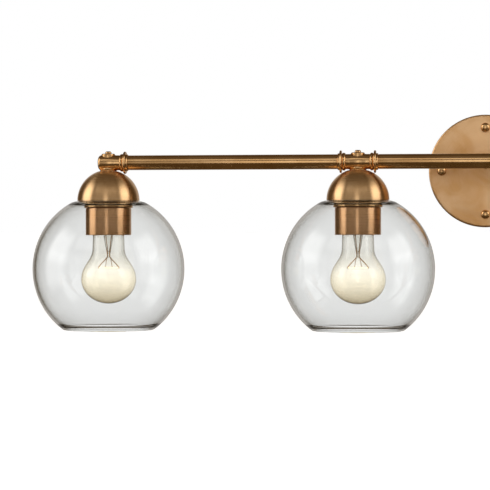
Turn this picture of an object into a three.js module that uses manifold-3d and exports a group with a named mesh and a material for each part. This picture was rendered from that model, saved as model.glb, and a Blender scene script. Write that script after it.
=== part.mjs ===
// A four-light vanity bar: a round wall canopy carries a straight horizontal tube on a
// short arm, and four clear glass globes hang from the tube, each round a screw-in bulb.
//
// Millimetres, +Z up. The origin is the middle of the canopy's back, on the wall plane
// Y = 0, and the light stands out from the wall towards -Y. Lamps count from 1 at -X.
//
// Each lamp is built in a frame of its own: the origin is where the lamp's vertical axis
// crosses the tube's axis, so every height in a lamp is measured from the tube's axis.

import Module from 'manifold-3d';
import * as THREE from 'three';
import { mergeVertices } from 'three/addons/utils/BufferGeometryUtils.js';

const wasm = await Module();
wasm.setup();

// ---------------------------------------------------------------- driving dimensions

const LAMP_COUNT = 4;
const LAMP_PITCH = 271;
const BAR_REACH = 110;
const BAR_HEIGHT = 8.5;
const BAR_RADIUS = 8;
const TUBE_WALL = 1.2;
const SHEET_WALL = 1.2;
const GAP = 0.3;

const LAMP_SIDES = 16;
const BAR_SIDES = 12;
const SMALL_SIDES = 8;
const WIRE_SIDES = 8;

const CANOPY = { radius: 62.3, depth: 22, edge: 2, sides: 32 };
const KNOB = { circle: 48, radius: 5, height: 9, stud: 2, hole: 2.35 };
const BRACKET = { reach: 56, width: 16, thickness: 2, slotCentre: 36, slotLength: 10, slotWidth: 4.8 };
const ARM = { radius: 5.25, bore: 3.2, shoulder: 6.2, shoulderLength: 2, thread: 4.6, threadEnd: 10 };
const LOCKNUT = { radius: 8, thickness: 4 };

const BODY = { radius: 9.2, bulge: 1.5, waist: 8.5, rounding: 4.2, end: 11, flat: 5.2 };
const FITTING = { boss: 7.4, top: 9.9, foot: -9, footRadius: 9.4, edge: 1.2, bore: 5.6, drop: 6 };
const COLLAR = { neck: 8.2, bead: 9.6, disc: 12.1, discStart: 17.3, discEnd: 19.4, lip: 9, end: 21.7 };
const SPIGOT = { radius: BAR_RADIUS - TUBE_WALL - GAP, length: 8 };
const BOLT = { head: 3.5, headHeight: 2.3, shank: 1.75, hole: 2.05, end: -28 };

const DOME = { radius: 33.7, centre: -41.2, hole: 6.3 };
const GLOBE = { radius: 82.5, centre: -115.1, wall: 3, top: -41.5, rim: -181, hole: 21.5, corner: 3 };
const RING = { radius: 26.4, thickness: 4 };
const CUP = { radius: 24.7, bottom: -78.4, collarHeight: 4 };
const SOCKET = { radius: 19.5, shoulder: -22, bottom: -70, bore: 14.5, boreTop: -42, boss: 8.5 };
const SCREW_SHELL = { inner: 13.6, wall: 0.5, top: -44, bottom: -68 };

const BASE = { radius: 13.1, wall: 0.5, top: -46.5, shoulder: -50, mouth: 10.2, bottom: -69.8 };
const CONTACT = { top: -42.8, eyelet: 4.8, eyeletBase: -44.4, skirt: 9.2, skirtTop: -46.6, bottom: -48.6 };
const BULB = { neck: 17.4, neckEnd: -93, radius: 29.8, widest: -126.7, tip: -152.8, wall: 0.8 };
const STEM = { flare: 11, top: -62.5, radius: 4, end: -92, filament: -113.7, filamentReach: 11, wire: 0.8 };

const WIRE = { radius: 1.1, offset: 4, hole: 1.4, end: -36, loom: -8 };
const CONNECTOR = { spread: 16, bottom: 22, height: 18, radius: 5, tip: 3 };

// heights that follow from the ones above, from the dome down to the socket cup
const DOME_FLAT = FITTING.foot - GAP;
const BOSS_TOP = DOME_FLAT - SHEET_WALL - GAP;
const GLOBE_UNDERSIDE = GLOBE.top - GLOBE.wall;
const RING_TOP = GLOBE_UNDERSIDE - GAP;
const RING_BOTTOM = RING_TOP - RING.thickness;
const CUP_TOP = RING_BOTTOM - GAP;
const THREAD_HOLE = SOCKET.radius + GAP;

// ---------------------------------------------------------------- shapes

// A solid of revolution about +Z from [radius, height] points.
function turned(profile, sides) {
  const points = profile.map(([radius, height]) => new THREE.Vector2(radius, height));
  return new THREE.LatheGeometry(points, sides).rotateX(Math.PI / 2);
}

// A plain rod or disc about +Z between two heights.
function rod(radius, low, high, sides) {
  return turned([[0, low], [radius, low], [radius, high], [0, high]], sides);
}

// A tube about +Z between two heights.
function tube(inner, outer, low, high, sides) {
  return turned([[inner, low], [outer, low], [outer, high], [inner, high], [inner, low]], sides);
}

// [radius, height] points on a circle centred on the axis, between two angles above level.
function axisArc(radius, centre, from, to, steps) {
  const points = [];
  for (let step = 0; step <= steps; step += 1) {
    const angle = from + ((to - from) * step) / steps;
    points.push([radius * Math.cos(angle), centre + radius * Math.sin(angle)]);
  }
  return points;
}

// The angle above level at which a circle centred on the axis reaches a height.
function angleAt(radius, centre, height) {
  return Math.asin((height - centre) / radius);
}

// Turns a shape built along +Z so that it runs along +X, -X or +Y.
const alongX = (geometry) => geometry.rotateY(Math.PI / 2);
const alongMinusX = (geometry) => geometry.rotateY(-Math.PI / 2);
const alongY = (geometry) => geometry.rotateX(-Math.PI / 2);

// ---------------------------------------------------------------- joins and cuts

function solid(geometry) {
  const bare = geometry.clone();
  bare.deleteAttribute('normal');
  bare.deleteAttribute('uv');
  const merged = mergeVertices(bare, 1e-4);
  const index = merged.index.array;
  const triangles = [];
  for (let start = 0; start < index.length; start += 3) {
    const [a, b, c] = index.slice(start, start + 3);
    if (a !== b && b !== c && c !== a) {
      triangles.push(a, b, c);
    }
  }
  return new wasm.Manifold(new wasm.Mesh({
    numProp: 3,
    vertProperties: merged.attributes.position.array,
    triVerts: new Uint32Array(triangles),
  }));
}

function geometryOf(body) {
  const mesh = body.getMesh();
  const geometry = new THREE.BufferGeometry();
  geometry.setAttribute('position', new THREE.BufferAttribute(mesh.vertProperties, 3));
  geometry.setIndex(new THREE.BufferAttribute(mesh.triVerts, 1));
  geometry.computeVertexNormals();
  return geometry;
}

function joined(...geometries) {
  return geometryOf(geometries.map(solid).reduce((whole, piece) => whole.add(piece)));
}

function cut(geometry, ...tools) {
  return geometryOf(tools.map(solid).reduce((whole, tool) => whole.subtract(tool), solid(geometry)));
}

// ---------------------------------------------------------------- materials

const brass = () => new THREE.MeshStandardMaterial({ color: 0xb08a5a, roughness: 0.32, metalness: 1 });
const steel = () => new THREE.MeshStandardMaterial({ color: 0xa9a9a6, roughness: 0.4, metalness: 1 });
const glass = () => new THREE.MeshStandardMaterial({
  color: 0xeef2ef, roughness: 0.03, metalness: 0, transparent: true, opacity: 0.3,
});
const porcelain = () => new THREE.MeshStandardMaterial({ color: 0xf1ede2, roughness: 0.3, metalness: 0 });
const insulation = () => new THREE.MeshStandardMaterial({ color: 0x23211f, roughness: 0.6, metalness: 0 });
const nickel = () => new THREE.MeshStandardMaterial({ color: 0xc2beb4, roughness: 0.35, metalness: 1 });

// ---------------------------------------------------------------- wall side

// A shallow pan, open at the wall, drilled for the knobs' studs and for the arm.
function canopyShape() {
  const { radius, depth, edge, sides } = CANOPY;
  const inner = radius - SHEET_WALL;
  const pan = turned([
    [inner, 0],
    [radius, 0],
    [radius, depth - edge],
    [radius - edge * (1 - Math.SQRT1_2), depth - edge * (1 - Math.SQRT1_2)],
    [radius - edge, depth],
    [0, depth],
    [0, depth - SHEET_WALL],
    [inner, depth - SHEET_WALL],
    [inner, 0],
  ], sides).rotateX(Math.PI / 2);
  const drill = (hole, holeSides) => alongY(rod(hole, -depth - 1, -depth / 2, holeSides));
  const knobHoles = knobPlaces().map(([x, z]) => drill(KNOB.hole, SMALL_SIDES).translate(x, 0, z));
  const armHole = drill(ARM.thread + GAP, BAR_SIDES).translate(0, 0, BAR_HEIGHT);
  return cut(pan, ...knobHoles, armHole);
}

// The four knobs sit above, below, left and right of the canopy's middle.
function knobPlaces() {
  return [[0, KNOB.circle], [KNOB.circle, 0], [0, -KNOB.circle], [-KNOB.circle, 0]];
}

// A flat cross behind the canopy: the knobs' studs screw into its ends, and two slots
// take the screws of the wall box. Its middle is solid.
function bracketShape() {
  const { reach, width, thickness, slotCentre, slotLength, slotWidth } = BRACKET;
  const half = width / 2;
  const outline = new THREE.Shape();
  outline.moveTo(reach, -half);
  for (const turn of [0, 1, 2, 3]) {
    const corner = (x, y) => new THREE.Vector2(x, y).rotateAround(new THREE.Vector2(), (turn * Math.PI) / 2);
    for (const [x, y] of [[reach, -half], [reach, half], [half, half]]) {
      const point = corner(x, y);
      outline.lineTo(point.x, point.y);
    }
  }
  outline.closePath();
  for (const [x, z] of knobPlaces()) {
    const hole = new THREE.Path();
    hole.absarc(x, z, KNOB.hole, 0, 2 * Math.PI, true);
    outline.holes.push(hole);
  }
  for (const side of [-1, 1]) {
    const left = side * slotCentre - (slotLength - slotWidth) / 2;
    const right = side * slotCentre + (slotLength - slotWidth) / 2;
    const slot = new THREE.Path();
    slot.absarc(left, 0, slotWidth / 2, Math.PI * 1.5, Math.PI / 2, true);
    slot.absarc(right, 0, slotWidth / 2, Math.PI / 2, -Math.PI / 2, true);
    slot.closePath();
    outline.holes.push(slot);
  }
  const plate = new THREE.ExtrudeGeometry(outline, { depth: thickness, bevelEnabled: false, curveSegments: 6 });
  return plate.rotateX(Math.PI / 2);
}

// A rounded knob in front of the canopy, in one piece with the stud behind it.
function knobShape() {
  const { radius, height, stud } = KNOB;
  const front = CANOPY.depth + GAP;
  return turned([
    [0, GAP],
    [stud, GAP],
    [stud, front],
    [radius * 0.74, front],
    [radius, front + height * 0.35],
    [radius, front + height * 0.6],
    [radius * 0.74, front + height * 0.88],
    [0, front + height],
  ], SMALL_SIDES).rotateX(Math.PI / 2);
}

// The tube that carries the bar: a saddle at the bar, a shoulder against the canopy's
// face and a thread through it.
function armShape() {
  const { radius, bore, shoulder, shoulderLength, thread, threadEnd } = ARM;
  const face = -CANOPY.depth - GAP;
  const body = turned([
    [bore, -BAR_REACH],
    [radius, -BAR_REACH],
    [radius, face - shoulderLength],
    [shoulder, face - shoulderLength],
    [shoulder, face],
    [thread, face],
    [thread, -threadEnd],
    [bore, -threadEnd],
    [bore, -BAR_REACH],
  ], BAR_SIDES);
  const barSpace = alongX(rod(BAR_RADIUS + GAP, -2 * radius, 2 * radius, BAR_SIDES));
  return cut(alongY(body), barSpace.translate(0, -BAR_REACH, 0));
}

function locknutShape() {
  const high = -CANOPY.depth + SHEET_WALL + GAP + LOCKNUT.thickness;
  const nut = alongY(rod(LOCKNUT.radius, high - LOCKNUT.thickness, high, 6));
  return cut(nut, alongY(rod(ARM.thread + GAP, -CANOPY.depth, 0, BAR_SIDES)));
}

// ---------------------------------------------------------------- bar

// A length of the bar's tube along X.
function barShape(low, high) {
  return alongX(tube(BAR_RADIUS - TUBE_WALL, BAR_RADIUS, low, high, BAR_SIDES));
}

// The middle tube has a wire hole behind, where the arm meets it.
function middleBarShape(low, high) {
  const wireHole = alongY(rod(ARM.bore - GAP, BAR_RADIUS / 2, BAR_RADIUS * 1.5, SMALL_SIDES));
  return cut(barShape(low, high), wireHole);
}

// ---------------------------------------------------------------- fittings

// One side of a fitting, built along +Z from the closed end of its rounded body: body, neck,
// bead, sharp disc, lip, and the spigot that goes inside the tube.
function collarShape() {
  const { radius, bulge, waist, rounding, flat } = BODY;
  const { neck, bead, disc, discStart, discEnd, lip, end } = COLLAR;
  const beadStart = discStart - 4.6;
  return turned([
    [0, -BODY.end],
    [flat, -BODY.end],
    [(flat + radius) / 2, -BODY.end + rounding / 4],
    [waist, -BODY.end + rounding],
    [radius, -bulge],
    [radius, bulge],
    [waist, BODY.end - rounding],
    [neck, beadStart - rounding],
    [neck, beadStart],
    [bead, beadStart + 1.2],
    [bead, discStart - 1],
    [neck, discStart],
    [disc, discStart],
    [disc, discEnd],
    [lip, discEnd],
    [lip, end],
    [SPIGOT.radius, end],
    [SPIGOT.radius, end + SPIGOT.length],
    [0, end + SPIGOT.length],
  ], BAR_SIDES);
}

// A boss on the lamp's axis through a level body with a collar on each side that a tube
// joins: both sides make a tee, one side an elbow.
function fittingShape(sides) {
  const { boss, top, foot, footRadius, edge, bore, drop } = FITTING;
  const upright = turned([
    [0, foot],
    [footRadius, foot],
    [boss + edge / 2, foot + edge],
    [boss, foot + edge * 2],
    [boss, top - edge],
    [boss - edge, top],
    [0, top],
  ], LAMP_SIDES);
  const length = COLLAR.end + SPIGOT.length + 1;
  const turn = { left: alongMinusX, right: alongX };
  const collars = sides.map((side) => turn[side](collarShape()));
  const bores = sides.map((side) => turn[side](rod(bore, 0, length, BAR_SIDES)));
  const dropBore = rod(drop, foot - 1, bore, LAMP_SIDES);
  const boltHole = rod(BOLT.hole, 0, top + 1, SMALL_SIDES);
  return cut(joined(upright, ...collars), ...bores, dropBore, boltHole);
}

// The bolt whose low rounded head shows on top of the fitting. It runs down through the
// fitting and the dome into the socket and holds the stack together.
function boltShape() {
  const { head, headHeight, shank, end } = BOLT;
  const seat = FITTING.top + GAP;
  return turned([
    [0, end],
    [shank, end],
    [shank, seat],
    [head, seat],
    [head, seat + headHeight * 0.55],
    [head * 0.7, seat + headHeight],
    [0, seat + headHeight],
  ], SMALL_SIDES);
}

// ---------------------------------------------------------------- shade holder

// The spun cap over the globe: a hemisphere with a small flat under the fitting's foot.
function domeShape() {
  const { radius, centre, hole } = DOME;
  const inner = radius - SHEET_WALL;
  const flatInside = DOME_FLAT - SHEET_WALL;
  return turned([
    [hole, flatInside],
    ...axisArc(inner, centre, angleAt(inner, centre, flatInside), 0, 4),
    ...axisArc(radius, centre, 0, angleAt(radius, centre, DOME_FLAT), 4),
    [hole, DOME_FLAT],
    [hole, flatInside],
  ], LAMP_SIDES);
}

// The clear globe: a flat shoulder with a hole above and an open mouth below.
function globeShape() {
  const { radius, centre, wall, top, rim, hole, corner } = GLOBE;
  const inner = radius - wall;
  const underside = top - wall;
  const shoulder = radius * Math.cos(angleAt(radius, centre, top));
  return turned([
    [hole, underside],
    [RING.radius + GAP, underside],
    ...axisArc(inner, centre, angleAt(inner, centre, underside - corner), angleAt(inner, centre, rim), 6),
    ...axisArc(radius, centre, angleAt(radius, centre, rim), angleAt(radius, centre, top - corner), 6),
    [shoulder - corner / 2, top],
    [hole, top],
    [hole, underside],
  ], LAMP_SIDES);
}

// The threaded ring that clamps the globe up against the dome.
function ringShape() {
  return tube(THREAD_HOLE, RING.radius, RING_BOTTOM, RING_TOP, LAMP_SIDES);
}

// The straight cup round the socket: a thick threaded collar above a thin wall.
function cupShape() {
  const { radius, bottom, collarHeight } = CUP;
  const inner = radius - SHEET_WALL;
  return turned([
    [THREAD_HOLE, CUP_TOP - collarHeight],
    [inner, CUP_TOP - collarHeight],
    [inner, bottom],
    [radius, bottom],
    [radius, CUP_TOP],
    [THREAD_HOLE, CUP_TOP],
    [THREAD_HOLE, CUP_TOP - collarHeight],
  ], LAMP_SIDES);
}

// The porcelain socket: a boss under the dome, a barrel threaded outside for the ring
// and the cup, a bore for the bulb, and holes above for the bolt and the leads.
function socketShape() {
  const { radius, shoulder, bottom, bore, boreTop, boss } = SOCKET;
  const body = turned([
    [0, boreTop],
    [bore, boreTop],
    [bore, bottom],
    [radius, bottom],
    [radius, shoulder],
    [boss, shoulder],
    [boss, BOSS_TOP],
    [0, BOSS_TOP],
  ], LAMP_SIDES);
  const boltHole = rod(BOLT.hole, BOLT.end - 1, 0, SMALL_SIDES);
  const wireHole = rod(WIRE.hole, boreTop - 1, 0, WIRE_SIDES).translate(0, WIRE.offset, 0);
  return cut(body, boltHole, wireHole);
}

function screwShellShape() {
  const { inner, wall, top, bottom } = SCREW_SHELL;
  return tube(inner, inner + wall, bottom, top, LAMP_SIDES);
}

// ---------------------------------------------------------------- bulb

// The bulb's metal cap, open below for the glass and above for the insulator.
function bulbBaseShape() {
  const { radius, wall, top, shoulder, mouth, bottom } = BASE;
  const inner = radius - wall;
  return turned([
    [mouth - wall, top],
    [mouth - wall, top - wall],
    [inner, shoulder - wall],
    [inner, bottom],
    [radius, bottom],
    [radius, shoulder],
    [mouth, top],
    [mouth - wall, top],
  ], LAMP_SIDES);
}

// The insulator in the cap's top and the contact at its tip.
function bulbContactShape() {
  const { top, eyelet, eyeletBase, skirt, skirtTop, bottom } = CONTACT;
  return turned([
    [0, bottom],
    [skirt, bottom],
    [skirt, skirtTop],
    [eyelet, eyeletBase],
    [eyelet, top - 0.5],
    [eyelet - 1, top],
    [0, top],
  ], LAMP_SIDES);
}

// [radius, height] points down the bulb's glass, set in from its surface by a thickness.
function bulbOutline(inset) {
  const { neck, neckEnd, radius, widest, tip } = BULB;
  const seat = BASE.radius - BASE.wall - GAP - inset;
  const flare = new THREE.CubicBezierCurve(
    new THREE.Vector2(neck - inset, neckEnd),
    new THREE.Vector2(neck - inset, neckEnd * 0.6 + widest * 0.4),
    new THREE.Vector2(radius - inset, neckEnd * 0.5 + widest * 0.5),
    new THREE.Vector2(radius - inset, widest),
  );
  const points = [
    [seat, STEM.top + 1],
    [seat, BASE.bottom - GAP],
    [neck - inset, BASE.bottom - 7],
    ...flare.getPoints(3).map((point) => [point.x, point.y]),
  ];
  const capSteps = 3;
  for (let step = 1; step <= capSteps; step += 1) {
    const angle = (step / capSteps) * (Math.PI / 2);
    const side = step === capSteps ? 0 : (radius - inset) * Math.cos(angle);
    points.push([side, widest - (widest - tip - inset) * Math.sin(angle)]);
  }
  return points;
}

function bulbGlassShape() {
  const outside = bulbOutline(0).reverse();
  const inside = bulbOutline(BULB.wall);
  return turned([...outside, ...inside], LAMP_SIDES);
}

// The glass stem inside the bulb, its support wire and the filament across its end.
function bulbStemShape() {
  const { flare, top, radius, end, filament, filamentReach, wire } = STEM;
  const stem = turned([
    [0, filament],
    [wire, filament],
    [wire, end - 2],
    [radius, end],
    [radius, top - 6],
    [flare - 0.5, top - 1],
    [flare - 0.5, top],
    [0, top],
  ], SMALL_SIDES);
  const coil = alongX(rod(wire * 1.2, -filamentReach, filamentReach, WIRE_SIDES));
  return joined(stem, coil.translate(0, 0, filament));
}

// ---------------------------------------------------------------- wiring

// The leads as one loom: along the bar behind its axis, down beside each bolt into the
// sockets, and through the arm to two connectors inside the canopy.
function loomShape() {
  const { radius, offset, end, loom } = WIRE;
  const { spread, bottom, height, tip } = CONNECTOR;
  const lead = (low, high) => rod(radius, low, high, WIRE_SIDES);
  const reach = lampX(LAMP_COUNT - 1);
  const wall = loom + BAR_REACH;
  const pieces = [alongX(lead(-reach, reach)).translate(0, offset, 0)];
  for (let lamp = 0; lamp < LAMP_COUNT; lamp += 1) {
    pieces.push(lead(end, 0).translate(lampX(lamp), offset, 0));
  }
  pieces.push(alongY(lead(offset, wall)));
  pieces.push(alongX(lead(-spread, spread)).translate(0, wall, 0));
  for (const side of [-1, 1]) {
    const foot = bottom - BAR_HEIGHT;
    const cone = turned([
      [0, foot],
      [CONNECTOR.radius, foot],
      [tip, foot + height],
      [0, foot + height],
    ], SMALL_SIDES);
    pieces.push(lead(-radius, foot + 1).translate(side * spread, wall, 0));
    pieces.push(cone.translate(side * spread, wall, 0));
  }
  return joined(...pieces);
}

// ---------------------------------------------------------------- assembly

function lampX(lamp) {
  return (lamp - (LAMP_COUNT - 1) / 2) * LAMP_PITCH;
}

function add(group, name, geometry, material) {
  const mesh = new THREE.Mesh(geometry, material);
  mesh.name = name;
  group.add(mesh);
  return mesh;
}

function fittingFor(lamp) {
  if (lamp === 0) {
    return ['elbow', ['right']];
  }
  if (lamp === LAMP_COUNT - 1) {
    return ['elbow', ['left']];
  }
  return ['tee', ['left', 'right']];
}

function addLamp(bar, lamp) {
  const number = lamp + 1;
  const group = new THREE.Group();
  group.position.x = lampX(lamp);
  bar.add(group);
  const [kind, sides] = fittingFor(lamp);
  add(group, `${kind}_${number}`, fittingShape(sides), brass());
  add(group, `through_bolt_${number}`, boltShape(), brass());
  add(group, `dome_${number}`, domeShape(), brass());
  add(group, `globe_${number}`, globeShape(), glass());
  add(group, `shade_ring_${number}`, ringShape(), brass());
  add(group, `socket_cup_${number}`, cupShape(), brass());
  add(group, `socket_body_${number}`, socketShape(), porcelain());
  add(group, `screw_shell_${number}`, screwShellShape(), nickel());
  add(group, `bulb_glass_${number}`, bulbGlassShape(), glass());
  add(group, `bulb_base_${number}`, bulbBaseShape(), nickel());
  add(group, `bulb_contact_${number}`, bulbContactShape(), insulation());
  add(group, `bulb_stem_${number}`, bulbStemShape(), glass());
}

function addBar(light) {
  const bar = new THREE.Group();
  bar.position.set(0, -BAR_REACH, BAR_HEIGHT);
  light.add(bar);
  const clear = COLLAR.end + GAP;
  add(bar, 'bar_left', barShape(lampX(0) + clear, lampX(1) - clear), brass());
  add(bar, 'bar_middle', middleBarShape(lampX(1) + clear, lampX(2) - clear), brass());
  add(bar, 'bar_right', barShape(lampX(2) + clear, lampX(3) - clear), brass());
  add(bar, 'wiring_loom', loomShape(), insulation());
  for (let lamp = 0; lamp < LAMP_COUNT; lamp += 1) {
    addLamp(bar, lamp);
  }
}

function addWallSide(light) {
  add(light, 'canopy', canopyShape(), brass());
  add(light, 'mounting_bracket', bracketShape(), steel());
  add(light, 'arm', armShape(), brass()).position.z = BAR_HEIGHT;
  add(light, 'arm_locknut', locknutShape(), steel()).position.z = BAR_HEIGHT;
  const sides = ['top', 'right', 'bottom', 'left'];
  knobPlaces().forEach(([x, z], index) => {
    add(light, `knob_${sides[index]}`, knobShape(), brass()).position.set(x, 0, z);
  });
}

const light = new THREE.Group();
addWallSide(light);
addBar(light);

export default light;
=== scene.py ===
"""Looks for a four-light vanity bar: fine turned pieces, materials, studio light and camera.

Lengths are written in millimetres and become metres in each mesh. A lamp's own frame has its
origin where the lamp's vertical axis crosses the bar's axis, with +Z up. A turned piece is built
about its own +Z and its object is then placed, so that a brushed finish runs round it. Only the
level body of a fitting is turned along the bar before it joins its upright boss.
"""

import math

import bmesh
import bpy
from mathutils import Matrix, Vector


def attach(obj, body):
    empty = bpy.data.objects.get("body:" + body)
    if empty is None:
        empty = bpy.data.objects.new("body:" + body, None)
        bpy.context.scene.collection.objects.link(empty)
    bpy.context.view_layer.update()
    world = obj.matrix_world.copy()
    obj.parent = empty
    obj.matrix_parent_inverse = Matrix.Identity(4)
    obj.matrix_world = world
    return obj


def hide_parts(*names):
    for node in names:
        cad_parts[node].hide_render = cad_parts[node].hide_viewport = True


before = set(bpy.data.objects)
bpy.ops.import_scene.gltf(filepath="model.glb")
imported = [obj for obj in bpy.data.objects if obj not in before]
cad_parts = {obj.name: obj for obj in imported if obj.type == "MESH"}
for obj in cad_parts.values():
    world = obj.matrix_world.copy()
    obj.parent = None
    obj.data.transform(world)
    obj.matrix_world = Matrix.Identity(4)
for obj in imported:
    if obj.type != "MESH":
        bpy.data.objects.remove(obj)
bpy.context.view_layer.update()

# ---------------------------------------------------------------- dimensions, on or just inside the CAD's

MM = 0.001
LAMP_X = (-406.5, -135.5, 135.5, 406.5)
BAR_REACH = 110.0
BAR_HEIGHT = 8.5
BAR_RADIUS = 8.0
TUBE_WALL = 1.2
SHEET_WALL = 1.2
GAP = 0.3
WALL_GAP = 0.05

CANOPY_RADIUS = 62.3
CANOPY_DEPTH = 22.0
KNOB_CIRCLE = 48.0
KNOB_RADIUS = 5.0
KNOB_HEIGHT = 9.0
KNOB_STUD = 2.0
KNOB_HOLE = 2.35
ARM_RADIUS = 5.25
ARM_BORE = 3.2
ARM_THREAD = 4.6
ARM_BACK = 10.0
ARM_FLANGE = 6.2
ARM_FLANGE_THICKNESS = 2.0
LOCKNUT_RADIUS = 8.0
LOCKNUT_THICKNESS = 4.0

BODY = 9.2
BODY_WAIST = 8.5
BODY_END = 11.0
BODY_ROUNDING = 4.2
BODY_STRAIGHT = BODY_END - BODY_ROUNDING
BOSS = 7.4
BOSS_TOP = 9.9
BOSS_FOOT = -9.0
BOSS_FOOT_RADIUS = 9.4
NECK = 8.2
BEAD = 9.6
DISC = 12.1
DISC_START = 17.3
DISC_END = 19.4
LIP = 9.0
COLLAR_END = 21.7
SPIGOT = BAR_RADIUS - TUBE_WALL - GAP
SPIGOT_END = 29.7
WIRE_BORE = 5.6
DROP_BORE = 6.0
DROP_TOP = 4.0
BOLT_RADIUS = 1.75
BOLT_HOLE = 2.05
BOLT_BOTTOM = -28.0
BOLT_HEAD = 3.5
BOLT_HEAD_HEIGHT = 2.3

DOME_RADIUS = 33.7
DOME_CENTRE = -41.2
DOME_FLAT = -9.3
DOME_HOLE = 6.3
GLOBE_RADIUS = 82.35
GLOBE_CENTRE = -115.1
GLOBE_WALL = 3.0
GLOBE_TOP = -41.5
GLOBE_RIM = -181.0
GLOBE_HOLE = 21.5
RING_RADIUS = 26.4
RING_TOP = -44.8
RING_BOTTOM = -48.8
CUP_RADIUS = 24.7
CUP_TOP = -49.1
CUP_BOTTOM = -78.4
THREAD_HOLE = 19.8
SOCKET_RADIUS = 19.5
SOCKET_BOTTOM = -70.0
SOCKET_BORE = 14.5
SOCKET_BORE_TOP = -42.0

THREAD_PITCH = 3.629
BULB_NECK = 17.4
BULB_NECK_END = -93.0
BULB_RADIUS = 29.8
BULB_WIDEST = -126.7
BULB_TIP = -152.8
BULB_WALL = 0.8
BULB_SEAT = 12.3
BASE_BOTTOM = -69.8
STEM_TOP = -62.5
FILAMENT = -113.7
FILAMENT_REACH = 11.0

WIRE_RADIUS = 1.1
WIRE_OFFSET = 4.0
WIRE_END = -36.0
LOOM_Y = -8.0
CONNECTOR_SPREAD = 16.0
CONNECTOR_BOTTOM = 22.0
CONNECTOR_HEIGHT = 18.0

ROUND = 96
MERGE = 0.002

# ---------------------------------------------------------------- outlines


def arc(radius, centre, start, end, steps, across=0.0):
    """(radius, height) points on a circle between two angles in degrees above level."""
    angles = [math.radians(start + (end - start) * step / steps) for step in range(steps + 1)]
    return [(across + radius * math.cos(a), centre + radius * math.sin(a)) for a in angles]


def angle_at(radius, centre, height):
    """The angle in degrees above level at which a circle on the axis reaches a height."""
    return math.degrees(math.asin((height - centre) / radius))


def heights(low, high, steps):
    """Evenly spaced values from low to high."""
    return [low + (high - low) * step / steps for step in range(steps + 1)]


def softened(outline, steps=4):
    """Rounds the corners that give a third number, the corner's radius."""
    count = len(outline)
    closed = outline[0][0] > 0 and outline[-1][0] > 0
    result = []
    for index, point in enumerate(outline):
        inner = closed or 0 < index < count - 1
        if len(point) < 3 or not inner:
            result.append((point[0], point[1]))
            continue
        here = Vector(point[:2])
        before = Vector(outline[index - 1][:2]) - here
        after = Vector(outline[(index + 1) % count][:2]) - here
        half = before.angle(after) / 2
        reach = point[2] / math.tan(half)
        first = here + before.normalized() * reach
        last = here + after.normalized() * reach
        inwards = (before.normalized() + after.normalized()).normalized()
        middle = here + inwards * point[2] / math.sin(half)
        start = first - middle
        turn = start.angle_signed(last - middle)
        for step in range(steps + 1):
            spoke = start.copy()
            spoke.rotate(Matrix.Rotation(-turn * step / steps, 2))
            result.append(tuple(middle + spoke))
    return result


# ---------------------------------------------------------------- meshes


def mesh_from(name, points, faces, sharp=32):
    """A mesh from millimetre points, smooth except where faces meet at a sharp angle."""
    mesh = bpy.data.meshes.new(name)
    mesh.from_pydata([Vector(point) * MM for point in points], [], faces)
    tidy_mesh(mesh, sharp)
    return mesh


def tidy_mesh(mesh, sharp=32, merge=0.0):
    """Faces outwards and smooth shading; merge joins points closer than that many millimetres."""
    work = bmesh.new()
    work.from_mesh(mesh)
    if merge:
        bmesh.ops.remove_doubles(work, verts=work.verts, dist=merge * MM)
        bmesh.ops.dissolve_degenerate(work, edges=work.edges, dist=merge * MM)
    bmesh.ops.recalc_face_normals(work, faces=work.faces)
    work.to_mesh(mesh)
    work.free()
    mesh.shade_smooth()
    mesh.set_sharp_from_angle(angle=math.radians(sharp))


def lathe(name, outline, segments=ROUND, shape=None, sharp=32):
    """A solid of revolution about +Z. shape(angle, radius, height) may vary the radius."""
    closed = outline[0][0] > 0 and outline[-1][0] > 0
    points = []
    rings = []
    for radius, height in outline:
        if radius < 1e-6:
            rings.append([len(points)])
            points.append((0, 0, height))
            continue
        rings.append(list(range(len(points), len(points) + segments)))
        for side in range(segments):
            angle = 2 * math.pi * side / segments
            reach = shape(angle, radius, height) if shape else radius
            points.append((reach * math.cos(angle), reach * math.sin(angle), height))
    faces = []
    pairs = list(zip(rings, rings[1:]))
    if closed:
        pairs.append((rings[-1], rings[0]))
    for low, high in pairs:
        for side in range(segments):
            after = (side + 1) % segments
            corners = [low[side % len(low)], low[after % len(low)],
                       high[after % len(high)], high[side % len(high)]]
            face = list(dict.fromkeys(corners))
            if len(face) > 2:
                faces.append(face)
    return mesh_from(name, points, faces, sharp)


def tube_along(name, path, radius, sides):
    """A round wire through millimetre points, closed at its ends."""
    points = [Vector(point) for point in path]
    verts = []
    up = Vector((0, 0, 1))
    for index, point in enumerate(points):
        before = points[max(index - 1, 0)]
        after = points[min(index + 1, len(points) - 1)]
        along = (after - before).normalized()
        if abs(along.dot(up)) > 0.95:
            up = Vector((0, 1, 0)) if abs(along.y) < 0.9 else Vector((1, 0, 0))
        side = along.cross(up).normalized()
        up = side.cross(along).normalized()
        for corner in range(sides):
            angle = 2 * math.pi * corner / sides
            verts.append(point + radius * (side * math.cos(angle) + up * math.sin(angle)))
    faces = []
    for ring in range(len(points) - 1):
        for corner in range(sides):
            after = (corner + 1) % sides
            low = ring * sides
            faces.append((low + corner, low + after, low + sides + after, low + sides + corner))
    faces.append(tuple(range(sides)))
    faces.append(tuple(range((len(points) - 1) * sides, len(points) * sides)))
    return mesh_from(name, verts, faces, 60)


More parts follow.
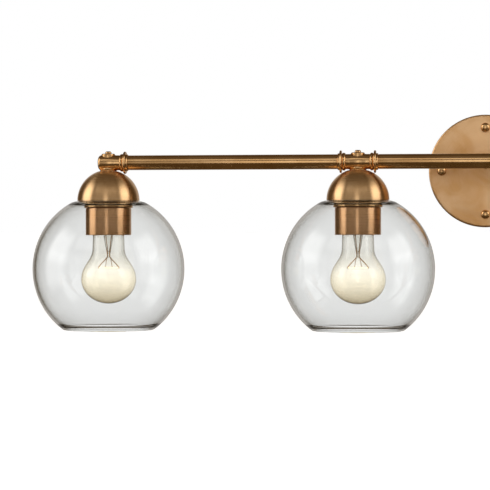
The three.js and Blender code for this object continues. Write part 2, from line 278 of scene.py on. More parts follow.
def boolean(mesh, operation, *tools):
    """The mesh with other meshes joined to it or cut from it."""
    whole = bpy.data.objects.new("work", mesh)
    bpy.context.scene.collection.objects.link(whole)
    helpers = []
    for tool in tools:
        helper = bpy.data.objects.new("tool", tool)
        bpy.context.scene.collection.objects.link(helper)
        helpers.append(helper)
        modifier = whole.modifiers.new("cut", "BOOLEAN")
        modifier.operation = operation
        modifier.solver = "EXACT"
        modifier.object = helper
    bpy.context.view_layer.update()
    evaluated = whole.evaluated_get(bpy.context.evaluated_depsgraph_get())
    result = bpy.data.meshes.new_from_object(evaluated)
    result.name = mesh.name
    for item in [whole, *helpers]:
        bpy.data.objects.remove(item)
    tidy_mesh(result, merge=MERGE)
    return result


def turned_copy(mesh, matrix):
    """A copy of the mesh, moved or turned."""
    moved = mesh.copy()
    moved.transform(matrix)
    return moved


def rod(name, radius, low, high, segments=48):
    """A plain cylinder about +Z, to cut or join with."""
    return lathe(name, [(0, low), (radius, low), (radius, high), (0, high)], segments)


TO_X = Matrix.Rotation(math.pi / 2, 4, "Y")
TO_MINUS_X = Matrix.Rotation(-math.pi / 2, 4, "Y")
TO_MINUS_Y = Matrix.Rotation(math.pi / 2, 4, "X")


def place(name, mesh, material, at, body="light", turn=None, stands_for=()):
    """Puts a mesh in the scene at a millimetre place, riding on a CAD body."""
    piece = bpy.data.objects.new(name, mesh)
    bpy.context.scene.collection.objects.link(piece)
    if not mesh.materials:
        mesh.materials.append(material)
    piece.matrix_world = Matrix.Translation(Vector(at) * MM) @ (turn or Matrix())
    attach(piece, body)
    if stands_for:
        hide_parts(*stands_for)
    return piece


# ---------------------------------------------------------------- material tools


def shader(name, **values):
    """A material and its Principled shader, with uniform values set on the shader itself."""
    material = bpy.data.materials.new(name)
    material.use_nodes = True
    principled = material.node_tree.nodes["Principled BSDF"]
    for key, value in values.items():
        principled.inputs[key.replace("_", " ")].default_value = value
    return material, material.node_tree, principled


def object_coordinates(tree):
    return tree.nodes.new("ShaderNodeTexCoord").outputs["Object"]


def math_node(tree, operation, first, second=0.0):
    node = tree.nodes.new("ShaderNodeMath")
    node.operation = operation
    for socket, value in zip(node.inputs, (first, second)):
        if isinstance(value, (int, float)):
            socket.default_value = value
        else:
            tree.links.new(value, socket)
    return node.outputs[0]


def product(tree, first, second):
    return math_node(tree, "MULTIPLY", first, second)


def total_of(tree, first, second):
    return math_node(tree, "ADD", first, second)


def separated(tree, vector):
    """The x, y and z of a vector."""
    node = tree.nodes.new("ShaderNodeSeparateXYZ")
    tree.links.new(vector, node.inputs[0])
    return tuple(node.outputs)


def height_of(tree):
    return separated(tree, object_coordinates(tree))[2]


def multiplied(tree, first, second):
    node = tree.nodes.new("ShaderNodeVectorMath")
    node.operation = "MULTIPLY"
    tree.links.new(first, node.inputs[0])
    tree.links.new(second, node.inputs[1])
    return node.outputs[0]


def blend(first, second, share):
    """A colour part of the way from the first to the second."""
    return tuple(a + (b - a) * share for a, b in zip(first, second))


def turned_coordinates(tree, fine, slow):
    """Coordinates that run fast across a lathe's marks and slowly round them."""
    x, y, z = separated(tree, object_coordinates(tree))
    radius = math_node(tree, "SQRT", total_of(tree, product(tree, x, x), product(tree, y, y)))
    across = total_of(tree, product(tree, radius, fine), product(tree, x, slow))
    join = tree.nodes.new("ShaderNodeCombineXYZ")
    for socket, value in zip(join.inputs, (across, product(tree, y, slow), product(tree, z, fine))):
        tree.links.new(value, socket)
    return join.outputs[0]


def noise(tree, vector, scale=1.0, detail=3.0, distortion=0.0):
    node = tree.nodes.new("ShaderNodeTexNoise")
    node.inputs["Scale"].default_value = scale
    node.inputs["Detail"].default_value = detail
    node.inputs["Distortion"].default_value = distortion
    tree.links.new(vector, node.inputs["Vector"])
    return node.outputs["Fac"]


def ramp(tree, factor, stops, interpolation="LINEAR"):
    node = tree.nodes.new("ShaderNodeValToRGB")
    node.color_ramp.interpolation = interpolation
    while len(node.color_ramp.elements) < len(stops):
        node.color_ramp.elements.new(0.5)
    for element, (position, colour) in zip(node.color_ramp.elements, stops):
        element.position = position
        element.color = (*colour, 1)
    tree.links.new(factor, node.inputs[0])
    return node.outputs[0]


def spread(tree, factor, low, high, start=0.3, end=0.7):
    """The factor stretched from start..end to low..high."""
    node = tree.nodes.new("ShaderNodeMapRange")
    tree.links.new(factor, node.inputs["Value"])
    for key, value in zip(("From Min", "From Max", "To Min", "To Max"), (start, end, low, high)):
        node.inputs[key].default_value = value
    return node.outputs[0]


def bump(tree, height, strength, distance=0.0005):
    node = tree.nodes.new("ShaderNodeBump")
    node.inputs["Strength"].default_value = strength
    node.inputs["Distance"].default_value = distance
    tree.links.new(height, node.inputs["Height"])
    return node.outputs[0]


# ---------------------------------------------------------------- materials


def brushed_metal(name, light, dark, rough=(0.2, 0.23), anisotropy=0.7, grain=0.005,
                  across=0.25, marks=0.05):
    """Metal brushed round its axis: fine rings, slow colour clouds and a lathe's sheen."""
    material, tree, principled = shader(name, Metallic=1.0, Anisotropic=anisotropy,
                                        Anisotropic_Rotation=across)
    rings = noise(tree, turned_coordinates(tree, 1900, 30), detail=3)
    clouds = noise(tree, object_coordinates(tree), scale=34, detail=3, distortion=0.6)
    mixed = total_of(tree, product(tree, rings, marks), product(tree, clouds, 1 - marks))
    tree.links.new(ramp(tree, mixed, [(0.36, dark), (0.62, light)]), principled.inputs["Base Color"])
    tree.links.new(spread(tree, rings, *rough), principled.inputs["Roughness"])
    tree.links.new(bump(tree, rings, grain, 0.0001), principled.inputs["Normal"])
    tangent = tree.nodes.new("ShaderNodeTangent")
    tangent.direction_type = "RADIAL"
    tangent.axis = "Z"
    tree.links.new(tangent.outputs[0], principled.inputs["Tangent"])
    return material


def plain_metal(name, light, dark, rough=(0.3, 0.5), scale=260):
    """Plated, cast or drawn metal with a faint clouded surface."""
    material, tree, principled = shader(name, Metallic=1.0)
    clouds = noise(tree, object_coordinates(tree), scale=scale, detail=4, distortion=0.4)
    tree.links.new(ramp(tree, clouds, [(0.35, dark), (0.65, light)]), principled.inputs["Base Color"])
    tree.links.new(spread(tree, clouds, *rough), principled.inputs["Roughness"])
    tree.links.new(bump(tree, clouds, 0.12, 0.0002), principled.inputs["Normal"])
    return material


def clear_glass(name, middle, edge, waviness=0.05, scale=16, ior=1.47, low=None):
    """Blown glass: faintly tinted, and darker towards its silhouette: partly its own tint seen through
    more glass, partly painted shade along its edges.

    low is (height to start, height to end, tint at the end), for glass that thickens downwards, and in a
    bulb for painted warm light in its round end.
    """
    material, tree, principled = shader(name, Transmission_Weight=1.0, IOR=ior)
    waves = noise(tree, object_coordinates(tree), scale=scale, detail=1.5)
    facing = tree.nodes.new("ShaderNodeLayerWeight")
    facing.inputs["Blend"].default_value = 0.5
    # edge stops: painted dark edge by the view angle, laid over the glass's own tint
    stops = [(0.0, middle), (0.64, middle), (0.77, blend(middle, edge, 0.12)),
             (0.86, blend(middle, edge, 0.45)), (0.94, edge)]
    colour = ramp(tree, facing.outputs["Facing"], stops)
    if low:
        start, end, tint = low
        down = spread(tree, height_of(tree), 0.0, 1.0, start * MM, end * MM)
        colour = multiplied(tree, colour, ramp(tree, down, [(0.0, (1.0, 1.0, 1.0)), (1.0, tint)]))
    tree.links.new(colour, principled.inputs["Base Color"])
    tree.links.new(spread(tree, waves, 0.0, 0.012), principled.inputs["Roughness"])
    tree.links.new(bump(tree, waves, waviness, 0.002), principled.inputs["Normal"])
    return material


def lit_bulb_glass():
    """Clear bulb glass with painted warm light in its round end, standing in for its filament's light: a
    warm tint and a band of emission on the glass.
    """
    # painted warm light: a warm tint that grows towards the bulb's round end
    low = (-112, BULB_TIP, (0.94, 0.88, 0.76))
    material = clear_glass("bulb_glass", (0.99, 0.98, 0.945), (0.70, 0.66, 0.54), 0.03, 30, low=low)
    tree = material.node_tree
    principled = tree.nodes["Principled BSDF"]
    down = spread(tree, height_of(tree), 0.0, 1.0, BULB_NECK_END * MM, BULB_TIP * MM)
    # painted glow: emission in a band on the glass, for the filament's light
    painted_glow = ramp(tree, down, [
        (0.0, (0.0, 0.0, 0.0)),
        (0.52, (0.10, 0.092, 0.070)),
        (1.0, (0.0, 0.0, 0.0)),
    ], "EASE")
    tree.links.new(painted_glow, principled.inputs["Emission Color"])
    principled.inputs["Emission Strength"].default_value = 1.0
    return material


def porcelain():
    """Glazed socket porcelain, off-white with fine specks."""
    material, tree, principled = shader("porcelain", Coat_Weight=0.6, Coat_Roughness=0.08)
    cloud = noise(tree, object_coordinates(tree), scale=70, detail=4)
    specks = noise(tree, object_coordinates(tree), scale=900, detail=2)
    mixed = total_of(tree, product(tree, cloud, 0.7), product(tree, specks, 0.3))
    tree.links.new(ramp(tree, mixed, [(0.3, (0.72, 0.69, 0.62)), (0.6, (0.86, 0.84, 0.79))]),
                   principled.inputs["Base Color"])
    tree.links.new(spread(tree, cloud, 0.22, 0.36), principled.inputs["Roughness"])
    tree.links.new(bump(tree, specks, 0.06, 0.0003), principled.inputs["Normal"])
    return material


def moulded(name, light, dark, rough=(0.35, 0.55), scale=240, grain=0.1):
    """Plastic, rubber or glass insulator with a fine moulded grain."""
    material, tree, principled = shader(name)
    cloud = noise(tree, object_coordinates(tree), scale=scale, detail=3)
    tree.links.new(ramp(tree, cloud, [(0.3, dark), (0.7, light)]), principled.inputs["Base Color"])
    tree.links.new(spread(tree, cloud, *rough), principled.inputs["Roughness"])
    tree.links.new(bump(tree, cloud, grain, 0.0002), principled.inputs["Normal"])
    return material


def glowing_filament():
    """A filament that glows a little, unevenly along its coil."""
    material, tree, principled = shader("filament", Emission_Strength=1.4)
    cloud = noise(tree, object_coordinates(tree), scale=600, detail=2)
    tree.links.new(ramp(tree, cloud, [(0.3, (0.95, 0.70, 0.34)), (0.7, (1.0, 0.86, 0.55))]),
                   principled.inputs["Emission Color"])
    return material


BRASS_LIGHT = (0.80, 0.50, 0.24)
BRASS_DARK = (0.68, 0.40, 0.17)
SPUN = {"rough": (0.27, 0.33), "anisotropy": 0.85, "marks": 0.25}

MATERIALS = {
    "brass": brushed_metal("satin_brass", BRASS_LIGHT, BRASS_DARK),
    "fitting": brushed_metal("fitting_brass", BRASS_LIGHT, BRASS_DARK, across=0.0),
    "dome": brushed_metal("dome_brass", (0.84, 0.55, 0.29), (0.74, 0.45, 0.21), **SPUN),
    "cup": brushed_metal("cup_brass", (0.91, 0.54, 0.29), (0.80, 0.44, 0.21), **SPUN),
    # the canopy's brass is a lighter copy of the others: painted light on its flat face, besides its own
    # rougher spun finish
    "canopy": brushed_metal("canopy_brass", (0.97, 0.63, 0.34), (0.82, 0.46, 0.19),
                            rough=(0.36, 0.44), anisotropy=0.6, marks=0.2),
    "steel": plain_metal("zinc_steel", (0.66, 0.66, 0.64), (0.42, 0.43, 0.43)),
    # the globe's dark edge colour is mostly painted shade along its silhouette
    "glass": clear_glass("clear_glass", (0.925, 0.932, 0.928), (0.40, 0.42, 0.38), 0.02,
                         low=(-158, GLOBE_RIM, (0.93, 0.93, 0.93))),
    "bulb": lit_bulb_glass(),
    "stem": clear_glass("bulb_stem_glass", (0.98, 0.98, 0.96), (0.78, 0.78, 0.73), 0.08, 120, 1.52),
    "cap": plain_metal("bulb_cap", (0.80, 0.76, 0.68), (0.62, 0.57, 0.48), (0.24, 0.4), 500),
    "socket_brass": plain_metal("socket_brass", (0.80, 0.60, 0.30), (0.62, 0.44, 0.2),
                                (0.25, 0.4), 500),
    "porcelain": porcelain(),
    "insulator": moulded("bulb_insulator", (0.03, 0.02, 0.03), (0.012, 0.01, 0.012), (0.1, 0.25)),
    "solder": plain_metal("solder", (0.66, 0.66, 0.64), (0.4, 0.4, 0.4), (0.35, 0.6), 900),
    "copper": plain_metal("support_wire", (0.86, 0.56, 0.32), (0.66, 0.38, 0.18),
                          (0.25, 0.45), 900),
    "filament": glowing_filament(),
    "lead": moulded("lead_insulation", (0.05, 0.048, 0.045), (0.02, 0.02, 0.02)),
    "connector": moulded("wire_connector", (0.75, 0.42, 0.12), (0.6, 0.3, 0.08)),
}

# ---------------------------------------------------------------- wall side


def wall(x, z):
    """The place on the wall plane at a width and height."""
    return (x, 0, z)


def canopy():
    """A shallow pan against the wall, pierced for the knobs' studs and the arm."""
    inner = CANOPY_RADIUS - SHEET_WALL
    pan = lathe("canopy", softened([
        (inner, WALL_GAP),
        (CANOPY_RADIUS, WALL_GAP, 0.3),
        (CANOPY_RADIUS, CANOPY_DEPTH, 2.4),
        (0, CANOPY_DEPTH),
        (0, CANOPY_DEPTH - SHEET_WALL),
        (inner, CANOPY_DEPTH - SHEET_WALL, 1.4),
    ], 6), 160)
    off_the_spokes = Matrix.Rotation(math.radians(3), 4, "Z")
    sizes = [(x, z, KNOB_HOLE) for x, z in knob_places()] + [(0, BAR_HEIGHT, ARM_THREAD + GAP)]
    holes = []
    for x, z, radius in sizes:
        spot = Matrix.Translation(Vector((x, z, 0)) * MM) @ off_the_spokes
        holes.append(turned_copy(rod("hole", radius, CANOPY_DEPTH - 12, CANOPY_DEPTH + 8), spot))
    place("canopy_look", boolean(pan, "DIFFERENCE", *holes), MATERIALS["canopy"], (0, 0, 0),
          turn=TO_MINUS_Y, stands_for=["canopy"])


def knob_places():
    """The knobs' (x, z), clockwise from the top as seen from the front."""
    return [(0, KNOB_CIRCLE), (KNOB_CIRCLE, 0), (0, -KNOB_CIRCLE), (-KNOB_CIRCLE, 0)]


def knobs():
    """Four round-topped knobs, each on a stud that passes through the canopy."""
    front = CANOPY_DEPTH + GAP
    top = front + KNOB_HEIGHT
    mesh = lathe("knob", softened([
        (0, GAP),
        (KNOB_STUD, GAP, 0.3),
        (KNOB_STUD, front),
        (KNOB_RADIUS * 0.74, front, 0.4),
        (KNOB_RADIUS * 0.72, front + 1.4, 0.6),
        (KNOB_RADIUS, front + 2.8, 1.2),
        (KNOB_RADIUS, top, 4.2),
        (0, top),
    ], 6), 48)
    for name, (x, z) in zip(("top", "right", "bottom", "left"), knob_places()):
        place(f"knob_{name}_look", mesh, MATERIALS["brass"], wall(x, z), turn=TO_MINUS_Y,
              stands_for=[f"knob_{name}"])


def arm():
    """The hollow arm from the canopy to the bar, hollowed at its end to fit round the bar."""
    face = CANOPY_DEPTH + GAP
    front = face + ARM_FLANGE_THICKNESS
    body = lathe("arm", softened([
        (ARM_BORE, ARM_BACK),
        (ARM_THREAD, ARM_BACK, 0.5),
        (ARM_THREAD, face),
        (ARM_FLANGE, face, 0.3),
        (ARM_FLANGE, front, 0.6),
        (ARM_RADIUS, front, 0.3),
        (ARM_RADIUS, BAR_REACH),
        (ARM_BORE, BAR_REACH),
    ]), 64)
    bar_space = turned_copy(rod("space", BAR_RADIUS + GAP, -12, 12, ROUND), TO_X)
    bar_space.transform(Matrix.Translation((0, 0, BAR_REACH * MM)))
    place("arm_look", boolean(body, "DIFFERENCE", bar_space), MATERIALS["brass"],
          wall(0, BAR_HEIGHT), turn=TO_MINUS_Y, stands_for=["arm"])


def locknut():
    """The hexagon nut that holds the arm, its corners turned off on both faces."""
    low = CANOPY_DEPTH - SHEET_WALL - GAP - LOCKNUT_THICKNESS
    high = low + LOCKNUT_THICKNESS
    face, chamfer = 7.2, 0.6
    hexagon = rod("locknut", LOCKNUT_RADIUS, low, high, 6)
    turned = lathe("corner", [
        (0, low),
        (face, low),
        (LOCKNUT_RADIUS, low + chamfer),
        (LOCKNUT_RADIUS, high - chamfer),
        (face, high),
        (0, high),
    ])
    nut = boolean(hexagon, "INTERSECT", turned)
    nut = boolean(nut, "DIFFERENCE", rod("hole", ARM_THREAD + GAP, 0, CANOPY_DEPTH + 2))
    place("arm_locknut_look", nut, MATERIALS["steel"], wall(0, BAR_HEIGHT), turn=TO_MINUS_Y,
          stands_for=["arm_locknut"])


# ---------------------------------------------------------------- bar and fittings


def bars():
    """A tube between each two lamps; the middle one has a hole where the arm's wires come in."""
    clear = COLLAR_END + GAP
    inner = BAR_RADIUS - TUBE_WALL
    for index, name in enumerate(("bar_left", "bar_middle", "bar_right")):
        low = LAMP_X[index] + clear
        high = LAMP_X[index + 1] - clear
        half = (high - low) / 2
        mesh = lathe(name, softened([
            (inner, -half), (BAR_RADIUS, -half, 0.4), (BAR_RADIUS, half, 0.4), (inner, half),
        ]), 72)
        if name == "bar_middle":
            hole = turned_copy(rod("hole", ARM_BORE - GAP, 4, 12, 32), TO_MINUS_Y)
            mesh = boolean(mesh, "DIFFERENCE", turned_copy(hole, Matrix.Rotation(math.pi, 4, "Z")))
        place(f"{name}_look", mesh, MATERIALS["brass"], ((low + high) / 2, -BAR_REACH, BAR_HEIGHT),
              turn=TO_X, stands_for=[name])


def collar_outline():
    """From the level body outwards: a neck, a round bead, a thin disc, a lip and the spigot."""
    bead, bead_room = 2.2, 2.3
    bead_middle = DISC_START - bead_room
    return [
        (NECK + 0.1, BODY_STRAIGHT + 1.2),
        (NECK, BODY_STRAIGHT + 2.4),
        (NECK, bead_middle - bead_room),
        *arc(bead, bead_middle, -70, 70, 10, across=BEAD - bead),
        (NECK, DISC_START),
        (DISC - 0.4, DISC_START),
        (DISC, DISC_START + 0.5),
        (DISC, DISC_END - 0.5),
        (DISC - 0.4, DISC_END),
        (LIP, DISC_END),
        (LIP, COLLAR_END - 0.4),
        (LIP - 0.4, COLLAR_END),
        (SPIGOT, COLLAR_END),
        (SPIGOT, SPIGOT_END),
        (0, SPIGOT_END),
    ]


def body_outline(both_sides):
    """The level body along the bar, with a collar at one end or both and a rounded end if not."""
    swell = [(BODY_WAIST + (BODY - BODY_WAIST) * math.cos(math.pi / 2 * share), BODY_STRAIGHT * share)
             for share in heights(-1.0, 1.0, 16)]
    if both_sides:
        start = [(radius, -height) for radius, height in reversed(collar_outline())]
    else:
        start = [(0, -BODY_END),
                 *arc(BODY_ROUNDING, -BODY_STRAIGHT, -90, -4, 10, across=BODY_WAIST - BODY_ROUNDING)]
    return [*start, *swell, *collar_outline()]


def boss_outline():
    """The upright boss: a flat top with a soft edge and a foot that sweeps out over the dome."""
    skirt, sweep, edge = 0.3, 3.2, 1.3
    flare = BOSS_FOOT_RADIUS - BOSS
    foot = [(BOSS + flare * (1 - share) ** 2, BOSS_FOOT + skirt + sweep * share)
            for share in heights(0.0, 1.0, 8)]
    return [
        (0, BOSS_FOOT),
        (BOSS_FOOT_RADIUS, BOSS_FOOT),
        *foot,
        *arc(edge, BOSS_TOP - edge, 0, 90, 8, across=BOSS - edge),
        (0, BOSS_TOP),
    ]


def fittings():
    """An elbow at each end of the bar, and a tee at each inner lamp."""
    kinds = [("elbow_1", False, TO_X), ("tee_2", True, TO_X), ("tee_3", True, TO_X),
             ("elbow_4", False, TO_MINUS_X)]
    drop = rod("bore", DROP_BORE, BOSS_FOOT - 1, DROP_TOP)
    bolt_hole = rod("bore", BOLT_HOLE, 0, BOSS_TOP + 1, 32)
    bore_end = SPIGOT_END + 1
    for index, (name, both_sides, turn) in enumerate(kinds):
        body = turned_copy(lathe("body", body_outline(both_sides)), turn)
        bore_start = -bore_end if both_sides else 0
        wire_way = turned_copy(rod("bore", WIRE_BORE, bore_start, bore_end), turn)
        mesh = boolean(lathe(name, boss_outline()), "UNION", body)
        mesh = boolean(mesh, "DIFFERENCE", wire_way, drop, bolt_hole)
        place(f"{name}_look", mesh, MATERIALS["fitting"], lamp_place(index),
              stands_for=[name])


def lamp_place(index):
    return (LAMP_X[index], -BAR_REACH, BAR_HEIGHT)


# ---------------------------------------------------------------- lamp pieces, once for all four


def bolt_mesh():
    """The bolt down the lamp's axis, with a small round head on top of the boss."""
    seat = BOSS_TOP + GAP
    top = seat + BOLT_HEAD_HEIGHT
    return lathe("bolt", softened([
        (0, BOLT_BOTTOM),
        (BOLT_RADIUS, BOLT_BOTTOM, 0.3),
        (BOLT_RADIUS, seat),
        (BOLT_HEAD, seat, 0.2),
        (BOLT_HEAD, top, 1.9),
        (0, top),
    ], 8), 48)


def dome_mesh():
    """The spun half-round dome over the socket, flattened under the boss."""
    inner = DOME_RADIUS - SHEET_WALL
    inside_flat = DOME_FLAT - SHEET_WALL
    return lathe("dome", [
        *arc(DOME_RADIUS, DOME_CENTRE, 0, angle_at(DOME_RADIUS, DOME_CENTRE, DOME_FLAT), 40),
        (DOME_HOLE, DOME_FLAT),
        (DOME_HOLE, inside_flat),
        *arc(inner, DOME_CENTRE, angle_at(inner, DOME_CENTRE, inside_flat), 0, 30),
    ], 128, sharp=40)


def globe_mesh():
    """The clear globe: a flat shoulder above and a thickened, fire-polished rim round its mouth."""
    inner = GLOBE_RADIUS - GLOBE_WALL
    underside = GLOBE_TOP - GLOBE_WALL
    bead, mouth_radius = 2.0, 48.7
    shoulder = angle_at(GLOBE_RADIUS, GLOBE_CENTRE, GLOBE_TOP - 1.6)
    hem = angle_at(GLOBE_RADIUS, GLOBE_CENTRE, GLOBE_RIM + 0.6)
    edge = GLOBE_RADIUS * math.cos(math.radians(angle_at(GLOBE_RADIUS, GLOBE_CENTRE, GLOBE_TOP)))
    top = [
        (GLOBE_HOLE, underside),
        (GLOBE_HOLE, GLOBE_TOP),
        (edge - 4.0, GLOBE_TOP),
        (edge - 1.6, GLOBE_TOP - 0.25),
        (edge + 0.4, GLOBE_TOP - 0.8),
    ]
    outside = arc(GLOBE_RADIUS, GLOBE_CENTRE, shoulder, hem, 64)
    mouth = arc(bead, GLOBE_RIM + bead, -60, -220, 14, across=mouth_radius)
    taper = [(49.0, GLOBE_RIM + 5.1), (50.9, GLOBE_RIM + 6.3)]
    inside = arc(inner, GLOBE_CENTRE, angle_at(inner, GLOBE_CENTRE, GLOBE_RIM + 7.4),
                 angle_at(inner, GLOBE_CENTRE, underside - 2.5), 60)
    under = [(edge - 6.0, underside - 0.6), (edge - 9.5, underside)]
    return lathe("globe", [*top, *outside, *mouth, *taper, *inside, *under], 128, sharp=50)


def ring_mesh():
    """The threaded ring that clamps the globe under the dome."""
    return lathe("shade_ring", softened([
        (THREAD_HOLE, RING_BOTTOM), (RING_RADIUS, RING_BOTTOM, 0.7), (RING_RADIUS, RING_TOP, 0.7),
        (THREAD_HOLE, RING_TOP),
    ]))


def cup_mesh():
    """The sleeve that hides the socket, its top turned in to the socket's thread."""
    inner = CUP_RADIUS - SHEET_WALL
    return lathe("socket_cup", softened([
        (THREAD_HOLE, CUP_TOP - 4),
        (inner, CUP_TOP - 4),
        (inner, CUP_BOTTOM, 0.4),
        (CUP_RADIUS, CUP_BOTTOM, 0.5),
        (CUP_RADIUS, CUP_TOP, 1.2),
        (THREAD_HOLE, CUP_TOP),
    ]), 128)


def socket_mesh():
    """The porcelain socket with its neck, its bulb bore, and holes for the bolt and the leads."""
    top = DOME_FLAT - SHEET_WALL - GAP
    neck, shoulder = 8.5, -22
    body = lathe("socket_body", softened([
        (0, SOCKET_BORE_TOP),
        (SOCKET_BORE, SOCKET_BORE_TOP),
        (SOCKET_BORE, SOCKET_BOTTOM, 0.8),
        (SOCKET_RADIUS, SOCKET_BOTTOM, 0.8),
        (SOCKET_RADIUS, shoulder, 1.0),
        (neck, shoulder, 0.8),
        (neck, top, 0.5),
        (0, top),
    ]))
    lead_hole = turned_copy(rod("hole", WIRE_RADIUS + GAP, SOCKET_BORE_TOP - 1, 0, 24),
                            Matrix.Translation((0, WIRE_OFFSET * MM, 0)))
    bolt_hole = rod("hole", BOLT_HOLE, BOLT_BOTTOM - 1, 0, 32)
    return boolean(body, "DIFFERENCE", bolt_hole, lead_hole)


def screw_shape(depth, low, high):
    """Varies a radius into a rolled screw thread between two heights."""
    def shape(angle, radius, height):
        edge = min(height - low, high - height)
        fade = max(0.0, min(1.0, edge / 1.5))
        wave = math.cos(2 * math.pi * height / THREAD_PITCH + angle)
        return radius - depth * fade * (0.5 + 0.5 * wave)
    return shape


def screw_shell_mesh():
    """The thin threaded shell inside the socket."""
    low, high = -68.0, -44.0
    outer, inner = 14.35, 13.95
    outside = [(outer, height) for height in heights(low, high, 60)]
    inside = [(inner, height) for height in reversed(heights(low, high, 60))]
    return lathe("screw_shell", [*outside, *inside], 64, screw_shape(0.35, low, high), 50)


def bulb_base_mesh():
    """The bulb's cap: rolled thread, and a shoulder drawn in to the insulator."""
    low, high = BASE_BOTTOM, -50.0
    outer, inner = 13.1, 12.6
    outside = [(outer, height) for height in heights(low, high, 56)]
    inside = [(inner, height) for height in reversed(heights(low, high, 56))]
    top = [(12.6, -49.2), (11.6, -47.4), (10.2, -46.5), (9.7, -46.5),
           (9.7, -47.0), (11.2, -47.9), (12.1, -49.6)]
    return lathe("bulb_base", [*outside, *top, *inside], 64, screw_shape(0.4, low + 0.6, high), 50)


def insulator_mesh():
    """The glass insulator in the end of the bulb's cap."""
    return lathe("bulb_insulator", softened([
        (0, -48.6), (9.2, -48.6, 0.3), (9.2, -46.6, 0.6), (4.9, -44.3, 0.4), (0, -44.3),
    ]), 64)


def tip_mesh():
    """The solder contact on the insulator."""
    return lathe("bulb_tip", softened([
        (0, -44.25), (4.7, -44.25, 0.2), (4.6, -43.3, 0.7), (1.5, -42.8, 0.6), (0, -42.8),
    ]), 48)


def bulb_outline(inset):
    """(radius, height) points down the bulb's glass, set in from its surface."""
    seat = BULB_SEAT - inset
    seat_end = BASE_BOTTOM - 0.3
    growth, length = BULB_NECK - 0.6 - BULB_SEAT, 6.7
    points = [(seat, STEM_TOP + 1), (seat, seat_end)]
    points += [(seat + growth * (1 - math.cos(math.pi * t)) / 2, seat_end - length * t)
               for t in (0.2, 0.4, 0.6, 0.8, 1.0)]
    start = Vector((BULB_NECK - inset, BULB_NECK_END))
    end = Vector((BULB_RADIUS - inset, BULB_WIDEST))
    first = Vector((start.x, BULB_NECK_END * 0.6 + BULB_WIDEST * 0.4))
    second = Vector((end.x, BULB_NECK_END * 0.5 + BULB_WIDEST * 0.5))
    steps = 18
    for step in range(steps + 1):
        t = step / steps
        point = ((1 - t) ** 3 * start + 3 * (1 - t) ** 2 * t * first
                 + 3 * (1 - t) * t * t * second + t ** 3 * end)
        points.append(tuple(point))
    steps = 20
    depth = BULB_WIDEST - BULB_TIP - inset
    for step in range(1, steps + 1):
        angle = step / steps * math.pi / 2
        side = 0 if step == steps else end.x * math.cos(angle)
        points.append((side, BULB_WIDEST - depth * math.sin(angle)))
    return points


def bulb_glass_mesh():
    return lathe("bulb_glass", [*reversed(bulb_outline(0)), *bulb_outline(BULB_WALL)], 96, sharp=60)


def stem_mesh():
    """The flared glass foot inside the neck and the pressed end that holds the wires."""
    outside = [(10.5, STEM_TOP), (10.4, -63.7), (8.0, -66), (6.2, -70), (5.4, -76), (4.8, -82),
               (3.8, -89), (2.6, -95), (1.9, -98.5)]
    press = arc(1.9, -101, 0, -90, 6)
    inside = [(0, -97), (0.9, -96.2), (1.8, -93.5), (3.0, -88.5), (4.0, -82), (4.6, -76),
              (5.4, -70.3), (7.3, -66.4), (9.6, -64.2), (9.6, STEM_TOP)]
    shell = lathe("bulb_stem", [(0, STEM_TOP), *outside, *press], 48, sharp=60)
    hollow = lathe("hollow", [*inside, (9.6, STEM_TOP + 1), (0, STEM_TOP + 1)], 48, sharp=60)
    return boolean(shell, "DIFFERENCE", hollow)


def support_wires():
    """Two lead wires that meet in the stem, and two thin supports, spreading to the filament."""
    meshes = []
    for side in (-1, 1):
        lead = [(side * 3.2, 0, -66), (side * 3.0, 0, -80), (side * 1.9, 0, -89),
                (side * 0.9, 0, -97), (side * 0.9, 0, -101.5), (side * 3.6, 0, -105),
                (side * 8.4, 0, -110), (side * FILAMENT_REACH, 0, FILAMENT + 0.4),
                (side * FILAMENT_REACH, 0, FILAMENT - 1)]
        meshes.append(tube_along("lead_wire", lead, 0.6, 8))
        support = [(side * 1.2, 0.2, -101), (side * 2.6, 0.8, -106), (side * 3.7, 1.4, FILAMENT + 0.2)]
        meshes.append(tube_along("support", support, 0.35, 6))
    return meshes


def filament_mesh():
    """The coiled filament, hung in a shallow curve from one lead to the other."""
    turns = 34
    steps = turns * 10
    coil = 0.55
    path = []
    for step in range(steps + 1):
        t = step / steps
        angle = 2 * math.pi * turns * t
        across = (2 * t - 1) * FILAMENT_REACH
        forward = 2.4 * (1 - (2 * t - 1) ** 2)
        sag = -0.5 * math.sin(3 * math.pi * t) ** 2
        path.append((across, forward + coil * math.cos(angle),
                     FILAMENT + sag + coil * math.sin(angle)))
    return tube_along("filament", path, 0.16, 5)


